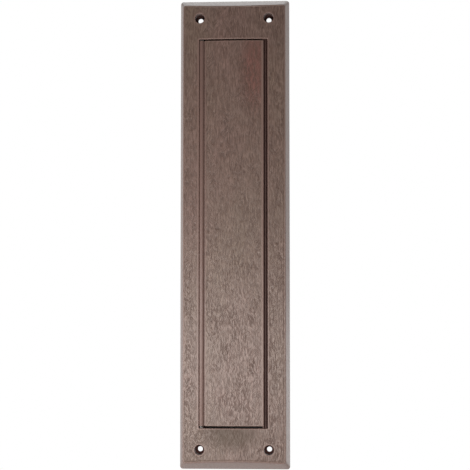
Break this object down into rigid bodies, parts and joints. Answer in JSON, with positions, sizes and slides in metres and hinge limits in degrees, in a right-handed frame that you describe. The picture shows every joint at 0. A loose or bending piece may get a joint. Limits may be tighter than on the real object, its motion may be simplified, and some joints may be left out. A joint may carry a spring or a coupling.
{
  "type": "letter plate draught excluder",
  "caption": "Brown wood-grain moulded letter plate draught excluder with a sprung inner flap and two facing brush strips.",
  "frame": {"origin": "the middle of the plate, on the face of the door that it is screwed to", "axes": "+Z along the plate, +X to the right seen from inside the room, +Y out of the back, into the door; the flap's hinge is on the -X side"},
  "size_m": [0.079, 0.013, 0.338],
  "materials": {
    "moulded_brown": "dark brown moulded plastic with an embossed wood grain, satin sheen",
    "nylon": "smooth dark brown nylon",
    "steel": "zinc-plated steel wire and screws",
    "aluminium": "mill-finish aluminium extrusion",
    "bristle": "fine black polypropylene bristles"
  },
  "bodies": {
    "plate": {"frame": "moulded_brown", "hinge_rod": "steel", "hinge_washer_top": "nylon", "hinge_washer_bottom": "nylon", "flap_spring_top": "steel", "flap_spring_bottom": "steel", "bearing_cap_top": "nylon", "bearing_cap_bottom": "nylon", "brush_carrier_left": "aluminium", "brush_carrier_right": "aluminium", "core_wire_left": "steel", "core_wire_right": "steel", "bristles_left": "bristle", "bristles_right": "bristle", "carrier_screw_left_bottom": "steel", "carrier_screw_left_middle": "steel", "carrier_screw_left_top": "steel", "carrier_screw_right_bottom": "steel", "carrier_screw_right_middle": "steel", "carrier_screw_right_top": "steel"},
    "flap": {"flap": "moulded_brown"}
  },
  "joints": [
    {"name": "flap_hinge", "type": "hinge", "parent": "plate", "child": "flap", "pos_m": [-0.02335, -0.0099, 0], "axis": [0, 0, -1], "range_deg": [0, 95], "stiffness_Nm_per_rad": 0.012, "springref_deg": -60.16}
  ]
}
